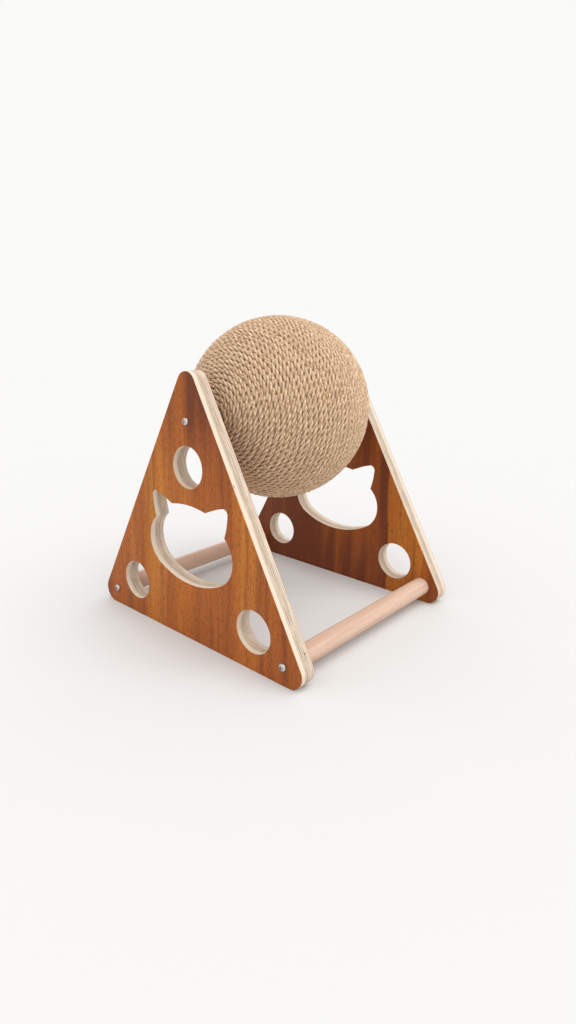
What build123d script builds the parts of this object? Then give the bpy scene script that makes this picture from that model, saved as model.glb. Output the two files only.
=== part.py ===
from build123d import *
import os
from math import asin, atan2, cos, dist, pi, radians, sin, sqrt, tan

# Cat scratching ball: a rope-wound ball that turns on an axle between two
# triangular plywood panels. Sizes are in millimetres.
# X runs along the axle, -Y is the front, +Z is up. The origin is the middle of
# the base, on the plane that the panels stand on.

# Side panels, measured on the triangle before its corners are rounded
triangle_base = 254.0
triangle_height = 235.0
base_corner_radius = 12.0
apex_corner_radius = 10.0
panel_thickness = 15.0
veneer_thickness = 0.6
edge_ease = 0.3

# Round cut-outs: one under the axle, one above each dowel
round_hole_diameter = 35.0
upper_hole_below_axle = 37.0
lower_hole_height = 32.0
lower_hole_inset = 55.5

# Cat-head cut-out, in the middle of each panel
chin_below_axle = 136.0
head_width = 100.0
chin_radius = 78.0
cheek_radius = 24.6
cheek_end_angle = 50.0
brow_half_width = 20.0
brow_rise = 65.4
forehead_rise = 67.8
ear_tip_reach = 45.2
ear_tip_rise = 74.4
ear_side_bow = 1.1
ear_top_bow = 1.0
ear_tip_radius = 4.5
brow_point_radius = 3.0

# Dowels, and the thinner rod that is the ball's axle
dowel_diameter = 16.0
dowel_edge_distance = 15.2
dowel_end_chamfer = 0.6
axle_diameter = 12.0
axle_below_apex = 50.0

# Pan-head wood screws, three in each panel
screw_diameter = 4.0
screw_length = 40.0
screw_tip_length = 5.0
screw_head_diameter = 6.4
screw_head_height = 2.5
screw_head_rim = 0.6
recess_width = 0.9
recess_span = 3.6
recess_depth = 1.3
panel_screw_clearance = 0.2
dowel_screw_clearance = 0.05
pilot_extra_depth = 2.0

# Ball: two hollow core halves, a bush in each pole and the rope winding.
# One turn of the winding stands for two turns of the thinner rope.
ball_diameter = 162.0
ball_side_gap = 12.5
rope_diameter = 8.1
rope_turn_gap = 0.5
rope_seat_gap = 0.3
rope_hub_gap = 3.0
rope_end_ease = 2.5
rope_end_ease_turns = 0.5
core_wall = 3.0
core_lap_length = 4.0
core_lap_clearance = 0.1
hub_boss_length = 26.0
hub_boss_wall = 3.0

# Bushes and spacers on the axle
bush_running_clearance = 0.08
bush_wall = 1.5
bush_seat_clearance = 0.05
bush_flange_lip = 2.0
bush_flange_thickness = 2.0
bush_flange_margin = 0.4
spacer_bore_clearance = 0.1
spacer_wall = 2.0
spacer_end_float = 0.3

# Places worked out from the sizes above
ball_radius = ball_diameter / 2
inner_face = ball_radius + ball_side_gap
outer_face = inner_face + panel_thickness
axle_height = triangle_height - axle_below_apex
base_angle = atan2(triangle_height, triangle_base / 2)
dowel_offset = triangle_base / 2 - dowel_edge_distance / tan(base_angle / 2)
dowel_places = {"front": -dowel_offset, "rear": dowel_offset}
screw_places = [(offset, dowel_edge_distance) for offset in dowel_places.values()] + [(0, axle_height)]
sides = {"left": -1, "right": 1}

# The ball's hub, out from the axle
bush_bore_radius = axle_diameter / 2 + bush_running_clearance
bush_radius = bush_bore_radius + bush_wall
bush_flange_radius = bush_radius + bush_flange_lip
boss_bore_radius = bush_radius + bush_seat_clearance
boss_radius = boss_bore_radius + hub_boss_wall
core_radius = ball_radius - rope_diameter - rope_seat_gap
core_inner_radius = core_radius - core_wall
pole_flat_radius = bush_flange_radius + bush_flange_margin
pole_face = sqrt(core_radius**2 - pole_flat_radius**2)
boss_end = pole_face - hub_boss_length
flange_face = pole_face + bush_flange_thickness

# The winding: the rope's centre line lies on a sphere and goes from hub to hub
rope_radius = rope_diameter / 2
route_radius = ball_radius - rope_radius
first_turn_angle = asin((bush_flange_radius + rope_hub_gap + rope_radius) / route_radius)
route_span = pi - 2 * first_turn_angle
rope_turns = int(route_radius * route_span // (rope_diameter + rope_turn_gap))
quarters_per_turn = 4

axle_axis = Axis((0, 0, axle_height), (1, 0, 0))
axle_plane = Plane(origin=(0, 0, axle_height), x_dir=(1, 0, 0), z_dir=(0, -1, 0))

os.makedirs("parts", exist_ok=True)


def write_part(part, node):
    """Label one finished piece and write it under its node's name."""
    part.label = node
    export_step(part, f"parts/{node}.step")
    print(node, "volume", round(part.volume), "mm3")


def mirrored(points):
    """The same points on the other side of the panel's middle line, last first."""
    return [(-y, z) for y, z in reversed(points)]


def head_outline():
    """Cat head seen from the side: a wide chin, round cheeks and two ears."""
    chin = axle_height - chin_below_axle
    chin_centre = chin + chin_radius
    cheek_y = head_width / 2 - cheek_radius
    cheek_drop = sqrt((chin_radius - cheek_radius) ** 2 - cheek_y**2)
    cheek_z = chin_centre - cheek_drop
    reach = chin_radius / (chin_radius - cheek_radius)
    chin_end = (cheek_y * reach, chin_centre - cheek_drop * reach)
    cheek_side = (cheek_y + cheek_radius, cheek_z)
    notch_angle = radians(cheek_end_angle)
    notch = (cheek_y + cheek_radius * cos(notch_angle), cheek_z + cheek_radius * sin(notch_angle))
    ear_tip = (ear_tip_reach, chin + ear_tip_rise)
    brow = (brow_half_width, chin + brow_rise)
    ear_side = ((notch[0] + ear_tip[0]) / 2 + ear_side_bow, (notch[1] + ear_tip[1]) / 2)
    ear_top = ((ear_tip[0] + brow[0]) / 2, (ear_tip[1] + brow[1]) / 2 + ear_top_bow)
    half = [
        (chin_end, cheek_side, notch),
        (notch, ear_side, ear_tip),
        (ear_tip, ear_top, brow),
    ]
    with BuildSketch() as head:
        with BuildLine():
            ThreePointArc((-chin_end[0], chin_end[1]), (0, chin), chin_end)
            for arc in half:
                ThreePointArc(*arc)
                ThreePointArc(*mirrored(arc))
            ThreePointArc(brow, (0, chin + forehead_rise), (-brow[0], brow[1]))
        make_face()
        fillet(head.vertices().group_by(Axis.Y)[-1], ear_tip_radius)
        brow_points = head.vertices().filter_by(lambda v: abs(abs(v.X) - brow[0]) < 0.01)
        fillet(brow_points, brow_point_radius)
    return head.sketch


def panel_outline(plane):
    """Rounded triangle with its cut-outs and screw holes, on a plane facing along X."""
    lower_hole_offset = triangle_base / 2 - lower_hole_inset
    head = head_outline()
    with BuildSketch(plane) as outline:
        with BuildLine():
            Polyline(
                (-triangle_base / 2, 0),
                (triangle_base / 2, 0),
                (0, triangle_height),
                close=True,
            )
        make_face()
        fillet(outline.vertices().group_by(Axis.Y)[0], base_corner_radius)
        fillet(outline.vertices().sort_by(Axis.Y)[-1], apex_corner_radius)
        with Locations(
            (0, axle_height - upper_hole_below_axle),
            (-lower_hole_offset, lower_hole_height),
            (lower_hole_offset, lower_hole_height),
        ):
            Circle(round_hole_diameter / 2, mode=Mode.SUBTRACT)
        with Locations(*screw_places):
            Circle(screw_diameter / 2 + panel_screw_clearance, mode=Mode.SUBTRACT)
        add(head, mode=Mode.SUBTRACT)
    return outline.sketch


def panel_layer(side, near, far, eased_face=None):
    """One layer of a panel, between two distances from the object's middle.

    The eased face has its sharp edges taken off: 0 is the nearer one, -1 the farther."""
    outline = panel_outline(Plane.YZ.offset(side * near))
    with BuildPart() as layer:
        extrude(outline, amount=side * (far - near))
        if eased_face is not None:
            flat_faces = layer.faces().filter_by(Axis.X).sort_by_distance((0, 0, 0))
            chamfer(flat_faces[eased_face].edges(), edge_ease)
    return layer.part


# Side panels: a plywood core between an outer and an inner stained veneer
for side_name, side in sides.items():
    core_start = inner_face + veneer_thickness
    core_end = outer_face - veneer_thickness
    write_part(panel_layer(side, core_start, core_end), f"{side_name}_panel_core")
    write_part(panel_layer(side, core_end, outer_face, -1), f"{side_name}_outer_veneer")
    write_part(panel_layer(side, inner_face, core_start, 0), f"{side_name}_inner_veneer")


def rod(diameter, y, z):
    """Round rod from panel to panel, with a screw hole in each end."""
    screw_bite = screw_length - panel_thickness + pilot_extra_depth
    with BuildPart() as piece:
        with BuildSketch(Plane.YZ.offset(-inner_face)):
            with Locations((y, z)):
                Circle(diameter / 2)
        extrude(amount=2 * inner_face)
        chamfer(piece.faces().filter_by(Axis.X).edges(), dowel_end_chamfer)
        for side in sides.values():
            with Locations(Plane(origin=(side * inner_face, y, z), z_dir=(side, 0, 0))):
                Hole(screw_diameter / 2 + dowel_screw_clearance, depth=screw_bite)
    return piece.part


# Dowels that hold the panels apart, and the fixed axle that carries the ball
for place, offset_y in dowel_places.items():
    write_part(rod(dowel_diameter, offset_y, dowel_edge_distance), f"{place}_dowel")
write_part(rod(axle_diameter, 0, axle_height), "ball_axle")


def screw(side, y, z):
    """Pan-head wood screw with a cross recess, its head against the outer face."""
    seat = Plane(origin=(side * outer_face, y, z), x_dir=(-side, 0, 0), z_dir=(0, side, 0))
    crown = Plane(origin=(side * (outer_face + screw_head_height), y, z), z_dir=(side, 0, 0))
    shank = screw_diameter / 2
    rim = screw_head_diameter / 2
    dome = screw_head_height - screw_head_rim
    with BuildPart() as piece:
        with BuildSketch(seat):
            with BuildLine():
                Polyline(
                    (-screw_head_height, 0),
                    (screw_length, 0),
                    (screw_length - screw_tip_length, shank),
                    (0, shank),
                    (0, rim),
                    (-screw_head_rim, rim),
                )
                EllipticalCenterArc((-screw_head_rim, 0), dome, rim, start_angle=90, arc_size=90)
            make_face()
        revolve(axis=Axis(seat.origin, seat.x_dir))
        with BuildSketch(crown):
            Rectangle(recess_span, recess_width)
            Rectangle(recess_width, recess_span)
        extrude(amount=-recess_depth, mode=Mode.SUBTRACT)
    return piece.part


# Screws: one into each end of the two dowels and of the axle
for side_name, side in sides.items():
    for place, offset_y in dowel_places.items():
        write_part(screw(side, offset_y, dowel_edge_distance), f"{side_name}_{place}_screw")
    write_part(screw(side, 0, axle_height), f"{side_name}_axle_screw")


def spacer(side):
    """Sleeve on the axle that keeps the ball in the middle."""
    bore_radius = axle_diameter / 2 + spacer_bore_clearance
    start = flange_face + spacer_end_float
    with BuildPart() as piece:
        with BuildSketch(Plane.YZ.offset(side * start)):
            with Locations((0, axle_height)):
                Circle(bore_radius + spacer_wall)
                Circle(bore_radius, mode=Mode.SUBTRACT)
        extrude(amount=side * (inner_face - start))
    return piece.part


def bush(side):
    """Flanged bush, let into the core's pole, that runs on the axle."""
    with BuildPart() as piece:
        with BuildSketch(axle_plane):
            with BuildLine():
                Polyline(
                    (side * boss_end, bush_bore_radius),
                    (side * flange_face, bush_bore_radius),
                    (side * flange_face, bush_flange_radius),
                    (side * pole_face, bush_flange_radius),
                    (side * pole_face, bush_radius),
                    (side * boss_end, bush_radius),
                    close=True,
                )
            make_face()
        revolve(axis=axle_axis)
    return piece.part


def core_half(side):
    """Hollow half ball with a boss for its bush. The right half's rim laps into the left's."""
    lap_radius = core_radius - core_wall / 2
    if side > 0:
        tongue_radius = lap_radius - core_lap_clearance
        rim = [
            (0, core_radius),
            (0, tongue_radius),
            (-core_lap_length, tongue_radius),
            (-core_lap_length, core_inner_radius),
            (0, core_inner_radius),
        ]
    else:
        rim_end = -core_lap_length - core_lap_clearance
        rim = [
            (0, core_radius),
            (0, lap_radius),
            (rim_end, lap_radius),
            (rim_end, sqrt(core_inner_radius**2 - rim_end**2)),
        ]
    inside_start = rim[-1]
    inside_end = (side * sqrt(core_inner_radius**2 - boss_radius**2), boss_radius)
    inside_reach = (boss_radius + inside_start[1]) / 2
    inside_middle = (side * sqrt(core_inner_radius**2 - inside_reach**2), inside_reach)
    outside_middle = (side * core_radius * cos(pi / 4), core_radius * sin(pi / 4))
    with BuildPart() as piece:
        with BuildSketch(axle_plane):
            with BuildLine():
                Polyline(*rim)
                ThreePointArc(inside_start, inside_middle, inside_end)
                Polyline(
                    inside_end,
                    (side * boss_end, boss_radius),
                    (side * boss_end, boss_bore_radius),
                    (side * pole_face, boss_bore_radius),
                    (side * pole_face, pole_flat_radius),
                )
                ThreePointArc((side * pole_face, pole_flat_radius), outside_middle, rim[0])
            make_face()
        revolve(axis=axle_axis)
    return piece.part


# Hub parts: spacers fixed beside the panels, bushes and core halves in the ball
for side_name, side in sides.items():
    write_part(spacer(side), f"{side_name}_spacer")
    write_part(bush(side), f"{side_name}_bush")
    write_part(core_half(side), f"{side_name}_core_half")


def route_point(turn):
    """Centre of the rope after a number of turns from the left hub."""
    left_ease = max(0, 1 - turn / rope_end_ease_turns) ** 2
    right_ease = max(0, 1 - (rope_turns - turn) / rope_end_ease_turns) ** 2
    ease_angle = rope_end_ease / route_radius
    polar = first_turn_angle + route_span * turn / rope_turns
    polar += ease_angle * (right_ease - left_ease)
    out = route_radius * sin(polar)
    around = 2 * pi * turn
    return Vector(-route_radius * cos(polar), out * sin(around), axle_height + out * cos(around))


def route_direction(turn):
    """Way that the rope runs at that place."""
    step = 1e-4
    return (route_point(turn + step) - route_point(turn - step)).normalized()


def biarc(start, start_way, end, end_way):
    """Two arcs in line with both ways: the start, end and starting way of each."""
    gap = end - start
    ways = start_way + end_way
    bend = 2 * (1 - start_way.dot(end_way))
    along = gap.dot(ways)
    arm = (sqrt(along**2 + bend * gap.dot(gap)) - along) / bend
    first_corner = start + start_way * arm
    second_corner = end - end_way * arm
    middle = (first_corner + second_corner) / 2
    return [(start, middle, start_way), (middle, end, second_corner - first_corner)]


def least_rope_gap(edges):
    """Smallest space between the rope and itself, on points along its centre line."""
    points_per_arc = 10
    half_turn = quarters_per_turn * points_per_arc
    points = [tuple(edge @ (i / points_per_arc)) for edge in edges for i in range(points_per_arc)]
    nearest = min(
        dist(here, there)
        for index, here in enumerate(points)
        for there in points[index + half_turn:]
    )
    return nearest - rope_diameter


# Rope winding: one unbroken tube, whose ends run straight for one diameter
with BuildPart() as rope_winding:
    with BuildLine() as route:
        first_way = route_direction(0)
        last_way = route_direction(rope_turns)
        Line(route_point(0) - first_way * rope_diameter, route_point(0))
        for quarter in range(rope_turns * quarters_per_turn):
            turn = quarter / quarters_per_turn
            next_turn = (quarter + 1) / quarters_per_turn
            arcs = biarc(
                route_point(turn),
                route_direction(turn),
                route_point(next_turn),
                route_direction(next_turn),
            )
            for start, end, way in arcs:
                TangentArc(start, end, tangent=way)
        Line(route_point(rope_turns), route_point(rope_turns) + last_way * rope_diameter)
    with BuildSketch(Plane(origin=route.line @ 0, z_dir=route.line % 0)):
        Circle(rope_radius)
    sweep(path=route.line)
write_part(rope_winding.part, "rope_winding")
tube_volume = pi * rope_radius**2 * sum(edge.length for edge in route.edges())
print("rope turns", rope_turns, "least gap", round(least_rope_gap(route.edges()), 3), "mm")
print("rope volume over section times length", round(rope_winding.part.volume / tube_volume, 4))
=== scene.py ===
# %% [markdown]
# # A cat scratching ball between two plywood triangles
#
# The toy is a ball wound with thin twisted rope that spins on a wooden axle between two stained
# plywood triangles. The frame of the toy (panels, dowels, axle, screws, hub) is exact CAD geometry
# that we load and only paint. The rope is soft, so we make it here, strand by strand.
# Everything is in metres. Distances in the text of this lesson are in millimetres, because that is
# how such a toy is measured on the bench.

# %% Load the frame
import math

import bpy
import numpy as np
from mathutils import Matrix, Vector


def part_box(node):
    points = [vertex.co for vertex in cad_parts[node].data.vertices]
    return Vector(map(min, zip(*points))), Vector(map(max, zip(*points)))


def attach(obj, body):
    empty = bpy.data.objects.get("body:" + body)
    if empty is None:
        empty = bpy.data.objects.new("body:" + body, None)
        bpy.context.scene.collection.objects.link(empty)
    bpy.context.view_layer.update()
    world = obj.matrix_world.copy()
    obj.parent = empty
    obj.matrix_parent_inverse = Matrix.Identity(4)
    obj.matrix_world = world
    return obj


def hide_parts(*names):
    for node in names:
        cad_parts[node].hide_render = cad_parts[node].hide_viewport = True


MM = 0.001
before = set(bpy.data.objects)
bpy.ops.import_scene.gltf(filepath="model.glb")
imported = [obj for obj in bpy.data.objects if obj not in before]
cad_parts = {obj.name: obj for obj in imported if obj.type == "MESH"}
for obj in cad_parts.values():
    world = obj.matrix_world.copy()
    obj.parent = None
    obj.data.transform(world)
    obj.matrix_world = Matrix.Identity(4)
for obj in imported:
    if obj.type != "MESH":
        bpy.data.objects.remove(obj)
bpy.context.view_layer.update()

# %% [markdown]
# ## The camera
#
# The picture of the toy fits a camera best when the lens's centre lies away from the middle of the
# frame, as in a picture cut out of a larger one. Blender says that with the camera's shift: a share
# of the picture's long side. The shift here is a compromise. It is smaller than the best fit's, so
# that the toy stays in the frame from other sides too, and it was then moved a pixel or two,
# so some corners lie several pixels from the picture's. We give the place, the three angles, the
# focal length and the lens's centre, and build the camera's matrix from its own right, up and back
# directions.

# %% Camera
PICTURE_WIDTH, PICTURE_HEIGHT = 576, 1024
SENSOR = 36.0
CAMERA_PLACE = (-435.3, -372.7, 264.7)
CAMERA_YAW, CAMERA_PITCH, CAMERA_ROLL = -45.11, -12.79, -0.28
FOCAL_PIXELS = 641.9
LENS_CENTRE_X, LENS_CENTRE_Y = 229, 462


def place_camera():
    """Stands the camera close to where the toy was photographed from."""
    yaw, pitch, roll = (math.radians(a) for a in (CAMERA_YAW, CAMERA_PITCH, CAMERA_ROLL))
    ahead = Vector((-math.sin(yaw) * math.cos(pitch), math.cos(yaw) * math.cos(pitch), math.sin(pitch)))
    level = Vector((math.cos(yaw), math.sin(yaw), 0))
    upright = level.cross(ahead)
    right = level * math.cos(roll) + upright * math.sin(roll)
    up = upright * math.cos(roll) - level * math.sin(roll)
    lens = bpy.data.cameras.new("camera")
    lens.sensor_width = SENSOR
    lens.lens = FOCAL_PIXELS * SENSOR / PICTURE_HEIGHT
    lens.shift_x = (PICTURE_WIDTH / 2 - LENS_CENTRE_X) / PICTURE_HEIGHT
    lens.shift_y = (LENS_CENTRE_Y - PICTURE_HEIGHT / 2) / PICTURE_HEIGHT
    camera = bpy.data.objects.new("camera", lens)
    turned = Matrix((right, up, -ahead)).transposed().to_4x4()
    camera.matrix_world = Matrix.Translation(Vector(CAMERA_PLACE) * MM) @ turned
    bpy.context.scene.collection.objects.link(camera)
    bpy.context.scene.camera = camera
    return camera


camera = place_camera()
shift = [round(value, 3) for value in (camera.data.shift_x, camera.data.shift_y)]
print("lens, mm:", round(camera.data.lens, 2), "shift:", shift)

# %% [markdown]
# ## A short way to write a finish
#
# A procedural material is a chain of nodes: a place on the object goes in, patterns are made from
# it, and the shader gets a colour, a roughness and a bump. Written out in full, each node takes
# four lines. This small class gives each kind of node one word, so that a finish reads like a
# recipe. What is the same all over a surface is set on the shader itself, and only what
# varies comes through nodes.

# %% The recipe class
def paint(red, green, blue):
    """A colour as a painter reads it from a chart, 0 to 255, as the linear light that shaders want."""
    return tuple(((c / 255 + 0.055) / 1.055) ** 2.4 for c in (red, green, blue)) + (1.0,)


def grey(amount):
    """An amount as a colour, for a strip of colours that is used as a curve."""
    return (amount, amount, amount, 1.0)


class Recipe:
    """One material, and a short word for each kind of node that the finishes below need."""

    def __init__(self, name, **sockets):
        self.material = bpy.data.materials.new(name)
        self.material.use_nodes = True
        self.tree = self.material.node_tree
        self.shader = self.tree.nodes["Principled BSDF"]
        for socket, value in sockets.items():
            self.shader.inputs[socket.replace("_", " ")].default_value = value

    def add(self, kind, inputs, output=0, **settings):
        """Makes a node, feeds its inputs and returns one of its outputs."""
        node = self.tree.nodes.new("ShaderNode" + kind)
        for setting, value in settings.items():
            setattr(node, setting, value)
        for socket, value in inputs.items():
            if isinstance(value, bpy.types.NodeSocket):
                self.tree.links.new(value, node.inputs[socket])
            else:
                node.inputs[socket].default_value = value
        return node.outputs[output]

    def place(self):
        """The place on the object, in millimetres. It stays on the piece when the piece moves."""
        metres = self.add("TexCoord", {}, "Object")
        return self.add("VectorMath", {0: metres, "Scale": 1 / MM}, operation="SCALE")

    def attribute(self, name):
        """A vector that the mesh carries for each of its points."""
        return self.add("Attribute", {}, "Vector", attribute_name=name)

    def stretch(self, where, x, y, z):
        """The same place measured in steps of x, y and z millimetres."""
        return self.add("VectorMath", {0: where, 1: (1 / x, 1 / y, 1 / z)}, operation="MULTIPLY")

    def shift(self, where, by):
        """A place moved by a vector, which may itself be a pattern."""
        return self.add("VectorMath", {0: where, 1: by}, operation="ADD")

    def noise(self, where, detail=2.0, roughness=0.5):
        """A cloudy pattern about one step wide, from 0 to 1 and mostly near a half."""
        return self.add("TexNoise", {"Vector": where, "Scale": 1.0, "Detail": detail, "Roughness": roughness})

    def part(self, where, axis):
        """One of the x, y and z of a vector."""
        return self.add("SeparateXYZ", {0: where}, axis)

    def math(self, operation, first, second=0.0, clamp=False):
        """Arithmetic on one or two values."""
        return self.add("Math", {0: first, 1: second}, operation=operation, use_clamp=clamp)

    def fade(self, value, start, end, low=0.0, high=1.0):
        """low where the value is under start, high where it is over end, and smooth between."""
        inputs = {"Value": value, "From Min": start, "From Max": end, "To Min": low, "To Max": high}
        return self.add("MapRange", inputs, interpolation_type="SMOOTHSTEP")

    def ramp(self, value, stops, ease="LINEAR"):
        """A colour for each value, read off a strip of (value, colour) stops."""
        node = self.tree.nodes.new("ShaderNodeValToRGB")
        strip = node.color_ramp
        strip.interpolation = ease
        while len(strip.elements) < len(stops):
            strip.elements.new(1.0)
        for element, (position, colour) in zip(strip.elements, stops):
            element.position = position
            element.color = colour
        self.tree.links.new(value, node.inputs[0])
        return node.outputs[0]

    def mix(self, amount, first, second, blend="MIX"):
        """The first colour turned into the second by the amount."""
        node = self.tree.nodes.new("ShaderNodeMix")
        node.data_type = "RGBA"
        node.blend_type = blend
        for socket, value in ((0, amount), (6, first), (7, second)):
            if isinstance(value, bpy.types.NodeSocket):
                self.tree.links.new(value, node.inputs[socket])
            else:
                node.inputs[socket].default_value = value
        return node.outputs[2]

    def bump(self, height, depth, below=None):
        """A surface that rises by depth millimetres where the height is 1, on top of another bump."""
        inputs = {"Height": height, "Distance": depth * MM, "Strength": 1.0}
        if below is not None:
            inputs["Normal"] = below
        return self.add("Bump", inputs)

    def finish(self, **links):
        """Feeds the shader and returns the material."""
        for socket, value in links.items():
            self.tree.links.new(value, self.shader.inputs[socket.replace("_", " ")])
        return self.material


def dress(material, *names):
    """Puts a material on every slot of the CAD nodes that are named."""
    for name in names:
        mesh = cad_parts[name].data
        if not mesh.materials:
            mesh.materials.append(None)
        for index in range(len(mesh.materials)):
            mesh.materials[index] = material
    print(material.name, "on", len(names), "nodes")


SIDES = ("left", "right")

# %% [markdown]
# ## Floor and light
#
# A product studio is a pale floor that runs on into a pale wall, lit from all round, with one large
# soft lamp from above that gives the shapes a bright and a dark side, and a weaker one from the
# camera's side. A lamp of the sun kind shines evenly over the whole floor, and a wide angle makes
# it as soft as a big softbox. The floor's paint is chosen so that the lit floor is nearly as bright
# as the air behind it. A faint horizon is left, about one step brighter out of 255.

# %% Floor, air and lamps
FLOOR_SIZE = 12.0
AIR_BRIGHTNESS = 0.96
FLOOR_TONE = 0.695
FLOOR_CLOUD = 0.003
KEY_LAMP = {"towards": (0.12, -0.42, 1.0), "strength": 1.25, "angle": 50}
FILL_LAMP = {"towards": (-0.75, -0.45, 0.55), "strength": 0.35, "angle": 80}


def soft_lamp(name, towards, strength, angle):
    """A sun lamp that shines from the direction it is given, as soft as its angle in degrees is wide."""
    lamp = bpy.data.lights.new(name, "SUN")
    lamp.energy = strength
    lamp.angle = math.radians(angle)
    holder = bpy.data.objects.new(name, lamp)
    holder.rotation_euler = Vector(towards).to_track_quat("Z", "Y").to_euler()
    bpy.context.scene.collection.objects.link(holder)


def lay_floor():
    """One large pale sheet at the toy's feet."""
    half = FLOOR_SIZE / 2
    sheet = bpy.data.meshes.new("floor")
    corners = [(-half, -half, 0), (half, -half, 0), (half, half, 0), (-half, half, 0)]
    sheet.from_pydata(corners, [], [(0, 1, 2, 3)])
    paper = Recipe("floor_paper", Roughness=0.9, Specular_IOR_Level=0.1)
    cloud = paper.noise(paper.stretch(paper.place(), 180, 180, 180), detail=3)
    tones = (FLOOR_TONE - FLOOR_CLOUD, FLOOR_TONE + FLOOR_CLOUD)
    low, high = ((tone, tone * 0.997, tone * 0.99, 1) for tone in tones)
    sheet.materials.append(paper.finish(Base_Color=paper.mix(cloud, low, high)))
    floor = bpy.data.objects.new("floor", sheet)
    bpy.context.scene.collection.objects.link(floor)
    return floor


def fill_air():
    """A pale world, the same brightness all round."""
    world = bpy.data.worlds.new("air")
    bpy.context.scene.world = world
    world.use_nodes = True
    air = world.node_tree.nodes["Background"]
    air.inputs["Color"].default_value = (1.0, 0.995, 0.985, 1)
    air.inputs["Strength"].default_value = AIR_BRIGHTNESS


fill_air()
soft_lamp("key_lamp", **KEY_LAMP)
soft_lamp("fill_lamp", **FILL_LAMP)
floor = lay_floor()
bpy.context.scene.view_settings.view_transform = "Standard"
print("floor:", FLOOR_SIZE, "m wide; two lamps")

# %% [markdown]
# ## Stained veneer
#
# The faces of the panels are a thin veneer with upright grain, stained orange-brown and sealed with
# a satin lacquer. A print or a photo of wood would be one way to make it. Noise that is stretched
# along the grain is another, and it can be as long as the wood is. Four things make it read as
# wood: broad leaves of redder and more golden tone, long soft streaks, fine growth lines, and
# pores, which are short dark dashes that the stain has run into.
# The leaves are given for each face. Those of the two faces that the picture shows follow it
# roughly; the two hidden faces share a guess. On the far panel's inner face the dark leaves behind
# the seam take in the shade of the ball and the near panel, so they are darker veneer and painted
# shade together.

# %% Stained veneer
MAROON = paint(112, 54, 28)
RED_BROWN = paint(162, 86, 32)
ORANGE_BROWN = paint(180, 100, 34)
GOLDEN_BROWN = paint(194, 118, 40)
STREAK_BROWN = paint(118, 62, 28)
PORE_BROWN = paint(74, 36, 14)
PANEL_HALF = 120.0


def leaf_tone(recipe, across, leaves):
    """How golden the veneer is across the panel, from (y in mm, tone) leaves, front to rear."""
    share = recipe.add("MapRange", {"Value": across, "From Min": -PANEL_HALF, "From Max": PANEL_HALF})
    stops = [((y + PANEL_HALF) / (2 * PANEL_HALF), grey(tone)) for y, tone in leaves]
    return recipe.ramp(share, stops)


def stained_veneer(name, leaves, apex_painted_shade=0.0):
    """Stained and lacquered veneer with upright grain, made of leaves that differ in tone, with painted shade
    towards the apex where a strength is given.
    """
    wood = Recipe(name, IOR=1.5, Specular_IOR_Level=0.22)
    place = wood.place()
    sway = wood.noise(wood.stretch(place, 40, 50, 110), detail=1)
    drift = wood.math("MULTIPLY", wood.math("SUBTRACT", sway, 0.5), 12.0)
    along = wood.add("CombineXYZ", {"X": 0.0, "Y": drift, "Z": 0.0})
    grain = wood.shift(place, along)
    leaf = leaf_tone(wood, wood.part(grain, "Y"), leaves)
    cloud = wood.noise(wood.stretch(grain, 30, 15, 190), detail=2)
    tone = wood.math("ADD", leaf, wood.math("MULTIPLY", wood.math("SUBTRACT", cloud, 0.5), 1.1))
    height = wood.part(place, "Z")
    # Painted shade: the veneer is darkened towards the panel's apex.
    tone = wood.math("SUBTRACT", tone, wood.fade(height, 120, 215, high=apex_painted_shade))
    # The veneer is also a little darker towards the bottom.
    tone = wood.math("SUBTRACT", tone, wood.fade(height, 5, 60, low=0.10, high=0.0))
    colour = wood.ramp(tone, [(0.0, MAROON), (0.30, RED_BROWN), (0.55, ORANGE_BROWN), (0.85, GOLDEN_BROWN)])
    bands = wood.noise(wood.stretch(grain, 20, 5.5, 210), detail=3, roughness=0.6)
    colour = wood.mix(wood.fade(bands, 0.50, 0.74, high=0.50), colour, STREAK_BROWN)
    lines = wood.noise(wood.stretch(grain, 8, 0.8, 60), detail=3, roughness=0.65)
    colour = wood.mix(wood.fade(lines, 0.42, 0.70, high=0.50), colour, STREAK_BROWN)
    pores = wood.noise(wood.stretch(grain, 3, 0.38, 4.6), detail=1)
    pore = wood.fade(pores, 0.57, 0.66)
    colour = wood.mix(wood.math("MULTIPLY", pore, 0.62), colour, PORE_BROWN)
    handling = wood.noise(wood.stretch(place, 30, 30, 30), detail=3)
    roughness = wood.fade(handling, 0.3, 0.7, low=0.40, high=0.52)
    roughness = wood.math("ADD", roughness, wood.math("MULTIPLY", pore, 0.2))
    surface = wood.bump(lines, 0.04)
    surface = wood.bump(wood.math("SUBTRACT", 1.0, pore), 0.06, below=surface)
    return wood.finish(Base_Color=colour, Roughness=roughness, Normal=surface)


LEFT_OUTER_LEAVES = [
    (-119, 0.34), (-82, 0.38), (-76, 0.70), (-54, 0.74), (-46, 0.44), (-24, 0.46), (-6, 0.36), (4, 0.56),
    (27, 0.60), (32, 0.84), (54, 0.76), (60, 0.50), (92, 0.52), (119, 0.42),
]
# The far panel's inner face: golden leaves in front of the seam at -62 mm. Behind it, the dark leaves are
# darker veneer together with painted shade of the ball and the near panel.
RIGHT_INNER_LEAVES_AND_SHADE = [
    (-119, 0.35), (-104, 0.45), (-90, 0.72), (-63, 0.86), (-62, 0.14), (-20, 0.16), (40, 0.0), (119, 0.0),
]
PLAIN_LEAVES = [(-119, 0.30), (-60, 0.60), (-54, 0.30), (10, 0.46), (16, 0.70), (60, 0.36), (119, 0.30)]
# The near panel's outer face gets painted shade towards its apex.
dress(stained_veneer("stained_veneer_left_outer", LEFT_OUTER_LEAVES, 0.30), "left_outer_veneer")
dress(stained_veneer("stained_veneer_right_inner", RIGHT_INNER_LEAVES_AND_SHADE), "right_inner_veneer")
dress(stained_veneer("stained_veneer_plain", PLAIN_LEAVES), "left_inner_veneer", "right_outer_veneer")
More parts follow.
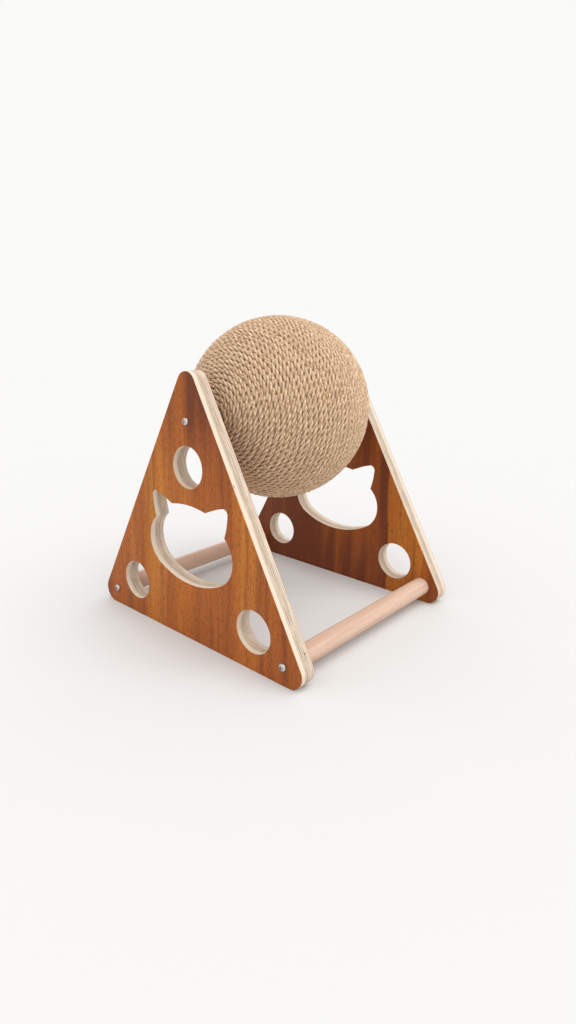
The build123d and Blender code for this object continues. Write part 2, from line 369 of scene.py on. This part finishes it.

# %% [markdown]
# ## Plywood edge
#
# The cut edge of the plywood shows its plies. Here a broad pale one lies under each face, and a
# few thin ones, turned a quarter against each other, crowd together in the middle. Thin grey-brown
# glue lines lie between them and come and go along the edge. Across the panel's thickness only x
# counts, so the plies follow every cut and hole by themselves. A little noise makes them wavy.
# The lines are listed as shares of the thickness from the outer face to the inner one.

# %% Plywood edge
PLY_PALE = paint(226, 210, 190)
PLY_PINK = paint(212, 190, 168)
PLY_GLUE = paint(96, 76, 64)
PLY_KNOT = paint(92, 58, 40)
GLUE_LINES = [(0.33, 0.7), (0.45, 1.0), (0.55, 0.8), (0.67, 1.0), (0.78, 0.6), (0.90, 0.8)]
LINE_HALF = 0.042
PINK_LAYERS = [(0.34, 0.0), (0.38, 0.8), (0.66, 0.7), (0.92, 0.0)]


def plywood_edge(name, outer, inner):
    """Bare ply between x = outer and x = inner, in mm, sanded on its cut edges."""
    ply = Recipe(name, IOR=1.45, Specular_IOR_Level=0.25)
    place = ply.place()
    wave = ply.noise(ply.stretch(place, 200, 22, 22), detail=3)
    depth = ply.math("ADD", ply.part(place, "X"), ply.math("MULTIPLY", ply.math("SUBTRACT", wave, 0.5), 1.6))
    layer = ply.add("MapRange", {"Value": depth, "From Min": outer, "From Max": inner})
    stops = [(0.0, grey(0.0))]
    for share, strength in GLUE_LINES:
        start, end = share - LINE_HALF, share + LINE_HALF
        stops += [(start, grey(0.0)), (share, grey(strength)), (end, grey(0.0))]
    glue = ply.ramp(layer, stops)
    patches = ply.noise(ply.stretch(place, 2.2, 14, 14), detail=2)
    glue = ply.math("MULTIPLY", glue, ply.fade(patches, 0.34, 0.54, low=0.30))
    fibre = ply.noise(ply.stretch(place, 0.5, 6, 6), detail=3, roughness=0.7)
    pinkness = ply.ramp(layer, [(share, grey(amount)) for share, amount in PINK_LAYERS])
    colour = ply.mix(pinkness, PLY_PALE, PLY_PINK)
    colour = ply.mix(ply.fade(fibre, 0.45, 0.8, high=0.6), colour, PLY_PINK)
    speck = ply.noise(ply.stretch(place, 0.35, 1.2, 1.2), detail=1)
    colour = ply.mix(ply.math("MULTIPLY", ply.fade(speck, 0.58, 0.72, high=0.5), pinkness), colour, PLY_GLUE)
    colour = ply.mix(ply.math("MULTIPLY", glue, 0.9), colour, PLY_GLUE)
    knots = ply.noise(ply.stretch(place, 2.2, 12, 12), detail=1)
    colour = ply.mix(ply.fade(knots, 0.775, 0.80), colour, PLY_KNOT)
    roughness = ply.fade(fibre, 0.3, 0.7, low=0.60, high=0.76)
    surface = ply.bump(fibre, 0.05)
    surface = ply.bump(ply.math("SUBTRACT", 1.0, glue), 0.06, below=surface)
    return ply.finish(Base_Color=colour, Roughness=roughness, Normal=surface)


for side in SIDES:
    low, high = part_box(side + "_panel_core")
    outer, inner = sorted((low.x / MM, high.x / MM), key=abs, reverse=True)
    dress(plywood_edge(side + "_ply", outer, inner), side + "_panel_core")

# %% [markdown]
# ## Beech rod
#
# The dowels and the axle are plain beech, turned and sanded, with no stain. Beech is pinkish, very
# even, and known by its rays: thin brown flecks, one to three millimetres long, all along the
# grain. The rods lie along x, so the grain is stretched along x.

# %% Beech rod
BEECH_PALE = paint(214, 184, 164)
BEECH_WARM = paint(202, 168, 147)
BEECH_FLECK = paint(160, 122, 102)


def beech_rod():
    """Sanded bare beech with its small flecks, grain along x."""
    beech = Recipe("beech_rod", IOR=1.45, Specular_IOR_Level=0.12)
    place = beech.place()
    bands = beech.noise(beech.stretch(place, 120, 5, 5), detail=2)
    colour = beech.mix(beech.fade(bands, 0.35, 0.68), BEECH_PALE, BEECH_WARM)
    lines = beech.noise(beech.stretch(place, 30, 0.6, 0.6), detail=2)
    colour = beech.mix(beech.fade(lines, 0.45, 0.75, high=0.35), colour, BEECH_WARM)
    flecks = beech.noise(beech.stretch(place, 2.6, 0.34, 0.34), detail=1)
    fleck = beech.fade(flecks, 0.62, 0.72)
    colour = beech.mix(beech.math("MULTIPLY", fleck, 0.5), colour, BEECH_FLECK)
    roughness = beech.fade(lines, 0.3, 0.7, low=0.60, high=0.72)
    surface = beech.bump(lines, 0.03)
    surface = beech.bump(beech.math("SUBTRACT", 1.0, fleck), 0.02, below=surface)
    return beech.finish(Base_Color=colour, Roughness=roughness, Normal=surface)


dress(beech_rod(), "front_dowel", "rear_dowel", "ball_axle")

# %% [markdown]
# ## Screws
#
# The heads are silver in the picture, so we take them for zinc-plated steel: bright, and slightly
# uneven from the plating bath. Metal gets nearly all of its look from what it mirrors, so the
# detail is in the roughness and in a very shallow bump.

# %% Screws
ZINC = paint(206, 204, 200)
ZINC_DULL = paint(176, 173, 168)


def zinc_steel():
    """Zinc-plated steel with a cloudy plating and fine turning marks."""
    steel = Recipe("zinc_steel", Metallic=1.0)
    place = steel.place()
    cloud = steel.noise(steel.stretch(place, 1.6, 1.6, 1.6), detail=3)
    colour = steel.mix(steel.fade(cloud, 0.35, 0.7, high=0.7), ZINC, ZINC_DULL)
    marks = steel.noise(steel.stretch(place, 0.25, 0.12, 0.9), detail=2)
    roughness = steel.fade(marks, 0.3, 0.7, low=0.24, high=0.42)
    return steel.finish(Base_Color=colour, Roughness=roughness, Normal=steel.bump(marks, 0.01))


screws = [f"{side}_{which}_screw" for side in SIDES for which in ("axle", "front", "rear")]
dress(zinc_steel(), *screws)

# %% [markdown]
# ## Hub and core
#
# The picture doesn't show the inside, so this is a guess at how such a toy is made: white nylon
# bushes and spacers round the axle, and a moulded core in two halves. Only the edges of the hub
# can be seen between the ball and the panels. Moulded plastic is never quite flat: it has a fine
# satin grain from the mould and faint flow clouds.

# %% Moulded plastic
def moulded(name, light, dark, grain):
    """Plastic from a satin mould: faint flow clouds and a fine grain of the given size in mm."""
    plastic = Recipe(name, IOR=1.53)
    place = plastic.place()
    flow = plastic.noise(plastic.stretch(place, 14, 9, 9), detail=2)
    colour = plastic.mix(plastic.fade(flow, 0.3, 0.7), light, dark)
    satin = plastic.noise(plastic.stretch(place, grain, grain, grain), detail=2)
    roughness = plastic.fade(satin, 0.3, 0.7, low=0.38, high=0.55)
    return plastic.finish(Base_Color=colour, Roughness=roughness, Normal=plastic.bump(satin, 0.012))


NYLON = moulded("white_nylon", paint(232, 230, 222), paint(222, 219, 208), 0.4)
CORE = moulded("core_plastic", paint(186, 176, 158), paint(172, 161, 142), 0.7)
dress(NYLON, "left_spacer", "right_spacer", "left_bush", "right_bush")
dress(CORE, "left_core_half", "right_core_half")

# %% [markdown]
# ## The winding: its route
#
# One rope, a little over four millimetres thick, is glued to the ball from one pole to the other, turn
# beside turn. A picture of rope on a smooth ball would fall apart at the outline and close up,
# so the winding is real geometry. Its centre line is a spiral on a sphere: the angle round the
# axle grows steadily, and the angle from the pole grows by one rope's width in each turn. The
# length along it isn't even in the angle, so we add it up first and then read the route off at even
# steps of length. Slow waves keep the turns from looking machined: up to a fifth of a millimetre
# sideways and a tenth in height. The turns are laid hard against each other. Real strands press
# flat there; here the rope is made about a fifth thicker than its share of the ball and its centre
# line lies that much deeper, so the meshes of neighbouring turns run into each other. The winding
# starts a little nearer the axle than the edge of the bush's flange, because the picture shows rope
# there and no hub. So its gap to the hub is negative, and one strand touches the flange.

# %% Route of the rope
ROPE = 4.3
LAY_LENGTH = 17.6
RINGS_PER_LAY = 15
STRAND_SWELL = 0.42
ROPE_HUB_GAP = -0.6
END_LENGTH = 26.0
END_DIVE = 1.6
STEPS_PER_TURN = 200
DRIFT = {"size": 0.20, "lengths": (730, 310, 171, 97), "seed": 3}
RISE = {"size": 0.10, "lengths": (530, 223, 83, 47), "seed": 5}
rope_low, rope_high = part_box("rope_winding")
ball_centre = (rope_low + rope_high) / 2 / MM
ball_radius = (rope_high.z - rope_low.z) / 2 / MM
flange_low, flange_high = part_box("left_bush")
flange_radius = (flange_high.z - flange_low.z) / 2 / MM
route_radius = ball_radius - ROPE / 2
first_angle = math.asin((flange_radius + ROPE_HUB_GAP + ROPE / 2) / route_radius)
turns = round((math.pi - 2 * first_angle) * route_radius / ROPE)


def waves(length, size, lengths, seed):
    """A slow uneven wave along the rope: a few sines whose starts are drawn from a fixed seed."""
    starts = np.random.default_rng(seed).uniform(0, 2 * np.pi, len(lengths))
    return size * sum(np.sin(2 * np.pi * length / l + s) for l, s in zip(lengths, starts)) / len(lengths)


def rope_route():
    """Even steps of length along the rope, with the centre line and the directions out and sideways."""
    turned = np.linspace(0, 2 * np.pi * turns, STEPS_PER_TURN * turns)
    from_pole = first_angle + (np.pi - 2 * first_angle) * turned / turned[-1]
    speed = np.hypot(route_radius * np.sin(from_pole), route_radius * np.gradient(from_pole, turned))
    lengths = np.concatenate([[0], np.cumsum((speed[1:] + speed[:-1]) / 2 * np.diff(turned))])
    rings = int(lengths[-1] / LAY_LENGTH * RINGS_PER_LAY)
    length = np.linspace(0, lengths[-1], rings)
    angle = np.interp(length, lengths, turned)
    polar = np.interp(length, lengths, from_pole)
    polar = polar + waves(length, **DRIFT) / route_radius
    out = np.stack([-np.cos(polar), np.sin(polar) * np.cos(angle), np.sin(polar) * np.sin(angle)], axis=1)
    to_end = np.minimum(length, length[-1] - length)
    dive = np.clip(1 - to_end / END_LENGTH, 0, 1)
    height = route_radius - END_DIVE * dive * dive * (3 - 2 * dive)
    height = height - STRAND_SWELL - RISE["size"] + waves(length, **RISE)
    centre = np.array(ball_centre) + out * height[:, None]
    ahead = np.gradient(centre, axis=0)
    ahead = ahead / np.linalg.norm(ahead, axis=1)[:, None]
    sideways = np.cross(ahead, out)
    return length, centre, out, sideways / np.linalg.norm(sideways, axis=1)[:, None]


length, centre, out, sideways = rope_route()
print("turns:", turns, "rope length, m:", round(length[-1] * MM, 2), "rings:", len(length))

# %% [markdown]
# ## The winding: three strands
#
# The rope is laid from three strands that wind round each other like a right-hand screw. Each one
# is a tube whose centre circles the rope's centre line. The tube is a little wider than round,
# because the strands press each other flat. Each strand is a piece of its own, as on a
# ropewalk, so its mesh stays light. Every point of the mesh also remembers where it is on the
# straightened strand: the length along it, and the place round it, turned back so that the fibres
# run along the rope as they do in a laid rope. The material reads its fibres from that.
# The map for a baked picture lays the strand out in rows, like a long ribbon cut to fit a page.

# %% Three strands
STRANDS = 3
SIDES_OF_STRAND = 6
ROPE_OUTSIDE = ROPE / 2 + STRAND_SWELL
STRAND_SHARE = 0.47
STRAND_RADIUS = ROPE_OUTSIDE * STRAND_SHARE
STRAND_ORBIT = ROPE_OUTSIDE - STRAND_RADIUS
STRAND_WIDTH = 1.12
FIBRE_TURN = 8.6
STRAND_OFFSET = 1000.0
MAP_ROWS = 50
MAP_FILL = 0.9


def tube_faces(rings, around):
    """The four-sided faces of a tube, ring after ring, and the two flat ends."""
    ring, step = np.meshgrid(np.arange(rings - 1), np.arange(around), indexing="ij")
    here, there = ring * around, (ring + 1) * around
    beside = (step + 1) % around
    quads = np.stack([here + step, here + beside, there + beside, there + step], axis=-1).reshape(-1, 4)
    ends = [tuple(range(around))[::-1], tuple((rings - 1) * around + i for i in range(around))]
    return quads, ends


def add_piece(name, points, faces, material, body="ball", smooth=True):
    """A mesh object from points in mm, riding on a body."""
    mesh = bpy.data.meshes.new(name)
    mesh.from_pydata(np.asarray(points) * MM, [], faces)
    mesh.polygons.foreach_set("use_smooth", np.full(len(mesh.polygons), smooth))
    mesh.materials.append(material)
    piece = bpy.data.objects.new(name, mesh)
    bpy.context.scene.collection.objects.link(piece)
    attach(piece, body)
    return piece


def ribbon_map(mesh, rings, around):
    """Lays the strand's faces out in rows, one row for each stretch of it."""
    per_row = math.ceil((rings - 1) / MAP_ROWS)
    ring, step = np.meshgrid(np.arange(rings - 1), np.arange(around), indexing="ij")
    row = ring // per_row
    left = (ring - row * per_row) / per_row
    low = (row + MAP_FILL * step / around) / MAP_ROWS
    wide, tall = 1 / per_row, MAP_FILL / around / MAP_ROWS
    corners = [(left, low), (left, low + tall), (left + wide, low + tall), (left + wide, low)]
    uv = np.stack([np.stack(corner, axis=-1) for corner in corners], axis=2).reshape(-1, 2)
    ends = np.zeros((len(mesh.loops) - len(uv), 2))
    layer = mesh.uv_layers.new(name="OFBake")
    layer.uv.foreach_set("vector", np.concatenate([uv, ends]).astype(np.float32).ravel())


def strand(index, material):
    """One strand of the rope, as a closed tube that circles the rope's centre line."""
    lay = 2 * np.pi * (length / LAY_LENGTH + index / STRANDS)
    away = np.cos(lay)[:, None] * out + np.sin(lay)[:, None] * sideways
    across = np.cos(lay)[:, None] * sideways - np.sin(lay)[:, None] * out
    middle = centre + STRAND_ORBIT * away
    round_it = 2 * np.pi * np.arange(SIDES_OF_STRAND) / SIDES_OF_STRAND
    up, aside = np.cos(round_it)[None, :, None], STRAND_WIDTH * np.sin(round_it)[None, :, None]
    points = middle[:, None] + STRAND_RADIUS * (up * away[:, None] + aside * across[:, None])
    faces, ends = tube_faces(len(length), SIDES_OF_STRAND)
    piece = add_piece(f"rope_strand_{index + 1}", points.reshape(-1, 3), [*faces.tolist(), *ends], material)
    fibre = round_it[None, :] + 2 * np.pi * length[:, None] / FIBRE_TURN
    along = np.repeat(length[:, None], SIDES_OF_STRAND, axis=1) + STRAND_OFFSET * index
    straight = np.stack([along, STRAND_RADIUS * np.cos(fibre), STRAND_RADIUS * np.sin(fibre)], axis=-1)
    carried = piece.data.attributes.new("straightened", "FLOAT_VECTOR", "POINT")
    carried.data.foreach_set("vector", straight.astype(np.float32).ravel())
    ribbon_map(piece.data, len(length), SIDES_OF_STRAND)
    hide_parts("rope_winding")
    return piece


# %% [markdown]
# ## The rope's fibre
#
# The rope is undyed natural fibre: tan, with single fibres that are nearly white or brown, a
# dull skin and a soft shine at grazing angles. The streaks read the straightened strand, so they
# follow the twist. Long patterns change the tone of whole turns a little, as rope from one coil
# does. The picture has dark spots deep between the crowns, and this scene's soft light alone left
# them too pale. So painted shade is added there: how far a point is from the ball's middle sets
# how much browner it is painted, deepest in the grooves.

# %% Rope fibre
FIBRE_TAN = paint(224, 189, 152)
FIBRE_PALE = paint(252, 226, 194)
FIBRE_BROWN = paint(150, 112, 78)
GROOVE_SHADE_BROWN = paint(128, 96, 66)


def rope_fibre():
    """Undyed plant fibre, streaked along the strand, with painted shade in the grooves."""
    fibre = Recipe("rope_fibre", Sheen_Weight=0.25, Sheen_Roughness=0.5, IOR=1.45)
    fibre.shader.inputs["Sheen Tint"].default_value = FIBRE_PALE
    strand_place = fibre.attribute("straightened")
    yarns = fibre.noise(fibre.stretch(strand_place, 2.6, 0.7, 0.7), detail=2, roughness=0.7)
    hairs = fibre.noise(fibre.stretch(strand_place, 2.4, 0.2, 0.2), detail=2, roughness=0.7)
    coil = fibre.noise(fibre.stretch(strand_place, 85, 4, 4), detail=2)
    colour = fibre.mix(fibre.fade(yarns, 0.50, 0.60), FIBRE_TAN, FIBRE_PALE)
    colour = fibre.mix(fibre.fade(yarns, 0.39, 0.47, low=0.8, high=0.0), colour, FIBRE_BROWN)
    colour = fibre.mix(fibre.fade(hairs, 0.52, 0.66, high=0.6), colour, FIBRE_BROWN)
    colour = fibre.mix(fibre.fade(coil, 0.45, 0.75, high=0.35), colour, FIBRE_BROWN)
    # Painted shade in the grooves: the nearer a point lies to the ball's middle, the browner it is.
    from_middle = fibre.shift(fibre.place(), tuple(-c for c in ball_centre))
    distance = fibre.add("VectorMath", {0: from_middle}, "Value", operation="LENGTH")
    height = fibre.math("SUBTRACT", distance, ball_radius)
    # A slow noise makes the edge of the painted shade uneven.
    shade_wobble = fibre.noise(fibre.stretch(strand_place, 14, 3, 3), detail=2)
    height = fibre.math("ADD", height, fibre.math("MULTIPLY", fibre.math("SUBTRACT", shade_wobble, 0.5), 1.2))
    colour = fibre.mix(fibre.fade(height, -2.3, -1.2, low=0.55, high=0.0), colour, GROOVE_SHADE_BROWN)
    roughness = fibre.fade(hairs, 0.3, 0.7, low=0.62, high=0.85)
    surface = fibre.bump(yarns, 0.35)
    surface = fibre.bump(hairs, 0.10, below=surface)
    return fibre.finish(Base_Color=colour, Roughness=roughness, Normal=surface)


ROPE_FIBRE = rope_fibre()
strands = [strand(index, ROPE_FIBRE) for index in range(STRANDS)]
print("strands:", len(strands), "faces in each:", len(strands[0].data.polygons))

# %% [markdown]
# ## The bed under the turns
#
# Between the core and the turns we guess a bed of the glue that holds them, brown and matt. It
# fills the little triangles under the rope, so nothing shines through from inside. It is a plain
# shell of revolution, closed by a rim at each pole, and only glimpses of it can ever be seen.

# %% Bed of glue
BED_DEPTH = 1.1
BED_RIM = 0.008
BED_LIFT = 0.15
BED_TOP = route_radius - BED_DEPTH
BED_ANGLE = first_angle - BED_RIM
AROUND_BED = 120
ALONG_BED = 48
core_low, core_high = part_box("left_core_half")
BED_FLOOR = (core_high.z - core_low.z) / 2 / MM + BED_LIFT


def glue_bed():
    """A shell round the axle between the core and the turns."""
    recipe = Recipe("bed_glue", IOR=1.48)
    lumps = recipe.noise(recipe.stretch(recipe.place(), 1.5, 1.5, 1.5), detail=3)
    colour = recipe.mix(lumps, paint(150, 118, 84), paint(112, 84, 58))
    glue = recipe.finish(
        Base_Color=colour,
        Roughness=recipe.fade(lumps, 0.3, 0.7, low=0.5, high=0.8),
        Normal=recipe.bump(lumps, 0.3),
    )
    polar = np.linspace(BED_ANGLE, np.pi - BED_ANGLE, ALONG_BED)
    heights = np.concatenate([np.full(ALONG_BED, BED_TOP), np.full(ALONG_BED, BED_FLOOR)])
    polar = np.concatenate([polar, polar[::-1]])
    profile = len(polar)
    round_it = 2 * np.pi * np.arange(AROUND_BED) / AROUND_BED
    x = np.repeat(-np.cos(polar)[None], AROUND_BED, axis=0) * heights
    y = np.cos(round_it)[:, None] * np.sin(polar) * heights
    z = np.sin(round_it)[:, None] * np.sin(polar) * heights
    points = np.stack([x, y, z], axis=-1).reshape(-1, 3) + np.array(ball_centre)
    ring, step = np.meshgrid(np.arange(AROUND_BED), np.arange(profile), indexing="ij")
    here, there = ring * profile, (ring + 1) % AROUND_BED * profile
    beside = (step + 1) % profile
    quads = np.stack([here + step, there + step, there + beside, here + beside], axis=-1).reshape(-1, 4)
    bed = add_piece("rope_bed", points, quads.tolist(), glue)
    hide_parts("rope_winding")
    return bed


bed = glue_bed()
print("bed from", round(BED_FLOOR, 2), "to", round(BED_TOP, 2), "mm from the ball's middle")

# %% [markdown]
# ## Loose fibres
#
# Natural rope is hairy. Thousands of short fibres stand off it and soften its outline. Blender's
# own hair would do, but a mesh exports and prints, so each fibre is a three-sided spike, bent
# once. It starts inside a strand, leans along the rope and lifts a little off the ball. The places are
# drawn from a fixed seed, so the toy looks the same each time.

# %% Loose fibres
FUZZ_COUNT = 2600
FUZZ_LENGTH = (1.6, 4.2)
FUZZ_THICK = 0.055
FUZZ_LIFT = (0.10, 0.75)
FUZZ_ROOT = 0.35
FUZZ_ROLL = 1.0
FUZZ_SPREAD = 0.45
FUZZ_CURL = 0.5
FUZZ_BEND = 0.35
FUZZ_ARCH = 1.7
FUZZ_TAPER = 0.8
FUZZ_JOINTS = 5
FUZZ_SIDES = 3
FUZZ_SEED = 11
RINGS_LEFT_BARE = 40


def loose_fibres(material):
    """Short bent spikes that lean along the rope."""
    draw = np.random.default_rng(FUZZ_SEED)
    ring = draw.integers(RINGS_LEFT_BARE, len(length) - RINGS_LEFT_BARE, FUZZ_COUNT)
    roll = draw.uniform(-FUZZ_ROLL, FUZZ_ROLL, FUZZ_COUNT)
    root = centre[ring] + (ROPE / 2 - FUZZ_ROOT) * (
        np.cos(roll)[:, None] * out[ring] + np.sin(roll)[:, None] * sideways[ring]
    )
    ahead = np.cross(out[ring], sideways[ring]) * draw.choice([-1, 1], FUZZ_COUNT)[:, None]
    lean = ahead + draw.normal(0, FUZZ_SPREAD, FUZZ_COUNT)[:, None] * sideways[ring]
    lean = lean / np.linalg.norm(lean, axis=1)[:, None]
    curl = draw.normal(0, FUZZ_CURL, FUZZ_COUNT)[:, None] * sideways[ring]
    size = draw.uniform(*FUZZ_LENGTH, FUZZ_COUNT)[:, None]
    lift = draw.uniform(*FUZZ_LIFT, FUZZ_COUNT)[:, None] + FUZZ_ROOT
    share = np.linspace(0, 1, FUZZ_JOINTS)
    forward = [size * (t * lean + t * t * FUZZ_BEND * curl) for t in share]
    upward = [lift * np.sin(t * FUZZ_ARCH) * out[ring] for t in share]
    spine = np.stack([root + f + u for f, u in zip(forward, upward)], axis=1)
    thick = FUZZ_THICK * (1 - FUZZ_TAPER * share)
    corners = 2 * np.pi * np.arange(FUZZ_SIDES) / FUZZ_SIDES
    beside = np.cross(lean, out[ring])
    ring_points = np.cos(corners)[:, None, None] * beside + np.sin(corners)[:, None, None] * out[ring]
    points = spine[:, :, None] + thick[None, :, None, None] * ring_points.transpose(1, 0, 2)[:, None]
    faces, ends = tube_faces(FUZZ_JOINTS, FUZZ_SIDES)
    block = FUZZ_JOINTS * FUZZ_SIDES
    starts = np.arange(FUZZ_COUNT)[:, None, None] * block
    all_faces = (faces[None] + starts).reshape(-1, 4).tolist()
    all_ends = [tuple(int(i) + k * block for i in end) for k in range(FUZZ_COUNT) for end in ends]
    piece = add_piece("rope_loose_fibres", points.reshape(-1, 3), all_faces + all_ends, material)
    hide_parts("rope_winding")
    return piece


def loose_fibre_finish():
    """Single fibres: paler than the rope, some of them brown."""
    fibre = Recipe("loose_fibre", Roughness=0.6, IOR=1.45, Sheen_Weight=0.2)
    tone = fibre.noise(fibre.stretch(fibre.place(), 3, 3, 3), detail=1)
    colour = fibre.ramp(tone, [(0.35, FIBRE_BROWN), (0.5, FIBRE_TAN), (0.7, FIBRE_PALE)])
    return fibre.finish(Base_Color=colour)


fuzz = loose_fibres(loose_fibre_finish())
print("loose fibres:", FUZZ_COUNT)
